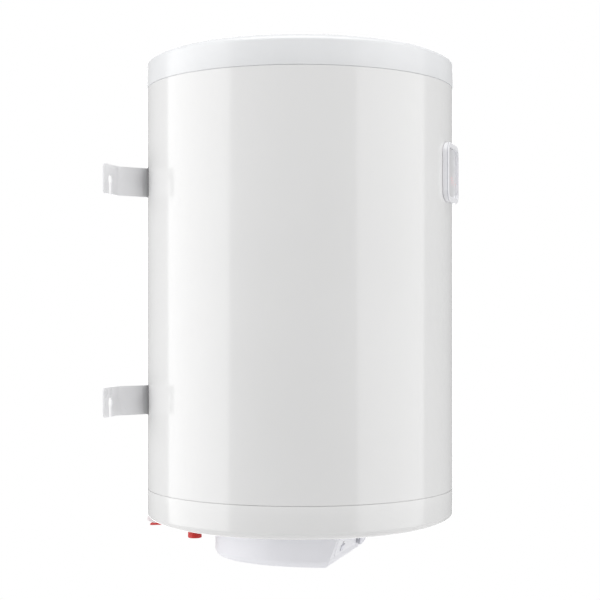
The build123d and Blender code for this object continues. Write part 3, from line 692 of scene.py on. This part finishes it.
def panel_scale():
    """Raised ticks round the knob, longer at the ends and the middle of its travel."""
    place = panel_frame(knob_base())
    form = bmesh.new()
    for i in range(TICK_COUNT):
        turn = math.radians(TICK_STEP * (i - TICK_COUNT // 2))
        long = 2.4 if i % 5 == 0 else 1.5
        start, end = math.cos(turn) * TICK_RING, math.cos(turn) * (TICK_RING + long)
        if start < PANEL_ROOM[0] or end > PANEL_ROOM[1]:
            continue
        spot = Matrix.Rotation(-turn, 4, "Z") @ lifted(TICK_RING + long / 2, 0.5)
        block(form, 0.7, long, 0.3, spot)
    ticks = finish_piece(form, "panel_scale_ticks", "button_grey", place=place)
    add_bevel(ticks, 0.1, 1)


def rounded_loop(wide, tall, radius, count=6):
    """Points of a rounded rectangle in mm, once round."""
    points = []
    for x, y, start in ((1, 1, 0), (-1, 1, 90), (-1, -1, 180), (1, -1, 270)):
        middle_x, middle_y = x * (wide / 2 - radius), y * (tall / 2 - radius)
        points += arc(middle_x, middle_y, radius, radius, start, start + 90, count)
    return points


def surround(outer, inner, low, high):
    """Flat ring between two loops, from one height to another in mm."""
    form = bmesh.new()
    rings = []
    for loop, z in ((outer, low), (outer, high), (inner, high), (inner, low)):
        rings.append([form.verts.new((x * MM, y * MM, z * MM)) for x, y in loop])
    for a, b in zip(rings, rings[1:] + rings[:1]):
        join_rings(form, a, b)
    bmesh.ops.recalc_face_normals(form, faces=form.faces)
    return form


def button_piece():
    """Pale press cap inside a grey surround."""
    softened("power_button", 0.35, "knob_white", "button")
    place = panel_frame(middle("power_button"))
    form = surround(rounded_loop(20.6, 10.6, 4.3), rounded_loop(18.6, 8.6, 3.3), 1.6, 2.4)
    ring = finish_piece(form, "button_surround", "button_grey", place=place)
    add_bevel(ring, 0.2)


# ---------------------------------------------------------------- cover fittings
def gland_piece():
    """Cable gland: flange, fluted dome nut and rounded mouth, bored through."""
    low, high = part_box("cable_gland")
    centre = middle("cable_gland")
    place = Matrix.Translation((low.x, centre.y, centre.z)) @ Matrix.Rotation(math.pi / 2, 4, "Y")
    length = (high.x - low.x) / MM
    face = length - 15.0
    wide, slim = 8.6, 8.2  # radii of the fluted nut
    outline = [(6.3, 0.0), (6.3, face), (8.8, face), (9.0, face + 0.4), (9.0, face + 4.4)]
    outline += [(8.7, face + 5.0), (8.3, face + 5.2), (8.3, face + 5.6), (wide, face + 6.2)]
    outline += [(wide, face + 10.5), (slim, face + 12.0), (7.2, face + 13.6), (5.9, length)]
    outline += [(4.9, length), (4.5, length - 0.5), (4.5, 0.0)]

    def flutes(row, turn):
        fluted = outline[row][0] in (wide, slim)
        return -0.45 * max(0.0, math.cos(12 * turn)) ** 2 if fluted else 0.0

    form = turned(outline, 192, flutes)
    name, replaced = "cable_gland_piece", ("cable_gland",)
    return finish_piece(form, name, "black_plastic", place=place, replaces=replaced)


def screw_pieces():
    """Cover screws: rounded heads with a crossed driver recess, and ringed shanks."""
    low_z, high_z = (corner.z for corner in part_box("cover_screws"))
    for number, (x, y) in enumerate(island_centres(frame["nodes"]["cover_screws"].data)):
        outline = [(0, 0.25), (2.6, 0.1), (3.5, 0.5), (3.95, 1.1), (4.0, 1.5), (4.0, 2.2)]
        outline += [(1.9, 2.2)]
        at, end, pitch = 2.6, (high_z - low_z) / MM, 1.2
        while at < end - 2.0:
            outline += [(1.5, at), (1.88, at + pitch / 2)]
            at += pitch
        outline += [(1.4, end - 1.6), (0, end)]
        form = turned(outline, 48, closed=False)
        name = f"cover_screw_{number}"
        replaced = ("cover_screws",) if number == 0 else ()
        place = Matrix.Translation((x, y, low_z))
        screw = finish_piece(form, name, "zinc_steel", place=place, replaces=replaced)
        cut_cross(screw, place)


def cut_cross(screw, place):
    """Sinks a crossed recess into a screw head that faces down."""
    form = bmesh.new()
    for turn in (0, math.pi / 2):
        block(form, 4.2, 0.9, 2.4, Matrix.Rotation(turn, 4, "Z"))
    bmesh.ops.transform(form, matrix=place, verts=form.verts)
    mesh = bpy.data.meshes.new("cross")
    form.to_mesh(mesh)
    form.free()
    tool = bpy.data.objects.new("cross", mesh)
    bpy.context.scene.collection.objects.link(tool)
    cut = screw.modifiers.new("cross", "BOOLEAN")
    cut.operation = "DIFFERENCE"
    cut.solver = "EXACT"
    cut.use_self = True
    cut.object = tool
    graph = bpy.context.evaluated_depsgraph_get()
    sunk = bpy.data.meshes.new_from_object(screw.evaluated_get(graph), depsgraph=graph)
    screw.modifiers.clear()
    screw.data = sunk
    sunk.set_sharp_from_angle(angle=math.radians(35))
    bpy.data.objects.remove(tool)


def island_centres(mesh):
    """Plan centres of the separate solids in a node's mesh, rear to front."""
    form = bmesh.new()
    form.from_mesh(mesh)
    bmesh.ops.remove_doubles(form, verts=form.verts, dist=SAME_POINT)
    left, centres = set(form.verts), []
    while left:
        stack, found = [next(iter(left))], set()
        while stack:
            vert = stack.pop()
            if vert not in found:
                found.add(vert)
                stack += [edge.other_vert(vert) for edge in vert.link_edges]
        left -= found
        xs, ys = [v.co.x for v in found], [v.co.y for v in found]
        centres.append(((min(xs) + max(xs)) / 2, (min(ys) + max(ys)) / 2))
    form.free()
    return sorted(centres, key=lambda c: (round(-c[1], 4), c[0]))


# ---------------------------------------------------------------- display
def display_pieces():
    """Bezel, a grey ring round its face that paints the shadow line at its parting, and the pale gasket behind it.
    """
    softened("display_bezel", 0.5, "bezel_white", segments=3)
    softened("display_gasket", 0.2, "bezel_white")
    low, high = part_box("display_bezel")
    wide, tall = (high.x - low.x) / MM, (high.z - low.z) / MM
    centre = middle("display_bezel")
    face = Matrix.Translation((centre.x, low.y, centre.z))
    place = face @ Matrix.Rotation(math.pi / 2, 4, "X")
    outer = rounded_loop(wide + 0.1, tall + 0.1, 16.05, 12)
    inner = rounded_loop(wide - 1, tall - 1, 15.5, 12)
    form = surround(outer, inner, -1.7, -0.9)
    # grey ring that paints the shadow line round the bezel's face
    finish_piece(form, "display_painted_shadow_line", "button_grey", place=place)


CAD_SOFTENED = (
    # node, edge rounding in mm, slot
    ("upper_bracket", 0.45, "bracket_paint"),
    ("lower_bracket", 0.45, "bracket_paint"),
    ("service_cover", 0.7, "cover_white"),
    ("control_panel", 0.3, "panel_white"),
    ("pilot_lens", 0.25, "lens_smoke"),
    ("pipe_bushings", 0.5, "white_nylon"),
    ("drain_valve_body", 0.5, "brass"),
    ("flange_nuts", 0.3, "zinc_steel"),
    ("anode_nut", 0.3, "zinc_steel"),
    ("earth_nut", 0.25, "brass"),
    ("gland_nut", 0.4, "black_plastic"),
    ("terminal_block", 0.5, "white_nylon"),
    ("thermal_cutout", 0.6, "black_plastic"),
    ("thermostat_body", 0.6, "black_plastic"),
    ("digit_segments", 0.12, "digit_red"),
)


def build_pieces():
    casing_piece()
    casing_seam()
    top_cap_piece()
    bottom_cap_piece()
    nipple("hot_outlet_pipe", "hot_nipple")
    nipple("cold_inlet_pipe", "cold_nipple")
    plug("hot_plug", "hot_stopper_cap", "red_plastic", "hot_stopper")
    plug("cold_plug", "cold_stopper_cap", "blue_plastic", "cold_stopper")
    lever_pieces()
    lever_hub()
    knob_pieces()
    panel_scale()
    button_piece()
    gland_piece()
    screw_pieces()
    display_pieces()
    for node, width, slot in CAD_SOFTENED:
        softened(node, width, slot)


# ---------------------------------------------------------------- studio
# Camera: the left side of the heater, turned a little towards its front.
# Distance and height are in metres, and the lens is in mm.
VIEW_TURN = math.radians(-73)
VIEW_DISTANCE = 1.975
VIEW_HEIGHT = -0.0357
LENS = 80.04
SHIFT_UP = 0.0264

FLOOR_DROP = 1.0  # metres from the heater's lowest point down to the floor
FLOOR_R = 3.0
AMBIENT = 0.43  # strength of the surroundings on the heater

# A tall soft box at each side, one behind and one overhead.
# Turn is counted from the camera, to its right.
SOFT_BOXES = (
    # name, turn in degrees, height, distance, width, tall, power
    ("left_box", -80, 0.2, 2.6, 3.0, 3.0, 48),
    ("right_box", 70, 0.2, 2.6, 3.0, 3.0, 33),
    ("back_box", 180, 0.2, 2.6, 2.0, 3.0, 30),
    ("overhead_box", 0, 2.5, 0.8, 2.4, 2.4, 45),
)


def add_camera():
    data = bpy.data.cameras.new("camera")
    data.lens = LENS
    data.sensor_width = 36.0
    data.shift_y = SHIFT_UP
    data.clip_end = 60.0
    camera = bpy.data.objects.new("camera", data)
    bpy.context.scene.collection.objects.link(camera)
    ahead = Vector((-math.sin(VIEW_TURN), math.cos(VIEW_TURN), 0.0))
    camera.location = AXIS - ahead * VIEW_DISTANCE + Vector((0, 0, VIEW_HEIGHT))
    camera.rotation_euler = (math.pi / 2, 0.0, VIEW_TURN)
    bpy.context.scene.camera = camera


def add_soft_box(name, turn, height, distance, width, tall, power):
    data = bpy.data.lights.new(name, "AREA")
    data.shape = "RECTANGLE"
    data.size, data.size_y = width, tall
    data.energy = power
    light = bpy.data.objects.new(name, data)
    bpy.context.scene.collection.objects.link(light)
    round_turn = VIEW_TURN + math.radians(turn)
    away = Vector((math.sin(round_turn), -math.cos(round_turn), 0.0))
    light.location = AXIS + away * distance + Vector((0, 0, height))
    light.rotation_euler = (AXIS - light.location).to_track_quat("-Z", "Y").to_euler()
    light.visible_camera = False


def add_world():
    """Even pale surroundings, white where the camera looks past the heater."""
    world = bpy.data.worlds.new("studio")
    world.use_nodes = True
    bpy.context.scene.world = world
    nodes, links = world.node_tree.nodes, world.node_tree.links
    back = nodes["Background"]
    back.inputs["Color"].default_value = (1, 1, 1, 1)
    ray = nodes.new("ShaderNodeLightPath")
    level = nodes.new("ShaderNodeMapRange")
    level.inputs["To Min"].default_value = AMBIENT
    level.inputs["To Max"].default_value = 1.0
    links.new(ray.outputs["Is Camera Ray"], level.inputs["Value"])
    links.new(level.outputs["Result"], back.inputs["Strength"])


def add_floor():
    mesh = bpy.data.meshes.new("floor")
    ground = bmesh.new()
    bmesh.ops.create_circle(ground, cap_ends=True, segments=96, radius=FLOOR_R)
    level = CAD_BOUNDS[0][2] - FLOOR_DROP
    bmesh.ops.translate(ground, verts=ground.verts, vec=AXIS + Vector((0, 0, level)))
    ground.to_mesh(mesh)
    ground.free()
    floor = bpy.data.objects.new("floor", mesh)
    bpy.context.scene.collection.objects.link(floor)
    n = Nodes("floor_pale")
    tone = n.ramp(n.noise(1.5), (0.80, 0.80, 0.80), (0.83, 0.83, 0.83))
    mesh.materials.append(n.finish(tone, n.span(n.noise(3.0), 0.8, 0.95)))


def set_studio():
    bpy.context.scene.view_settings.view_transform = "Standard"
    add_camera()
    for row in SOFT_BOXES:
        add_soft_box(*row)
    add_world()
    add_floor()


dress_frame()
build_pieces()
set_studio()
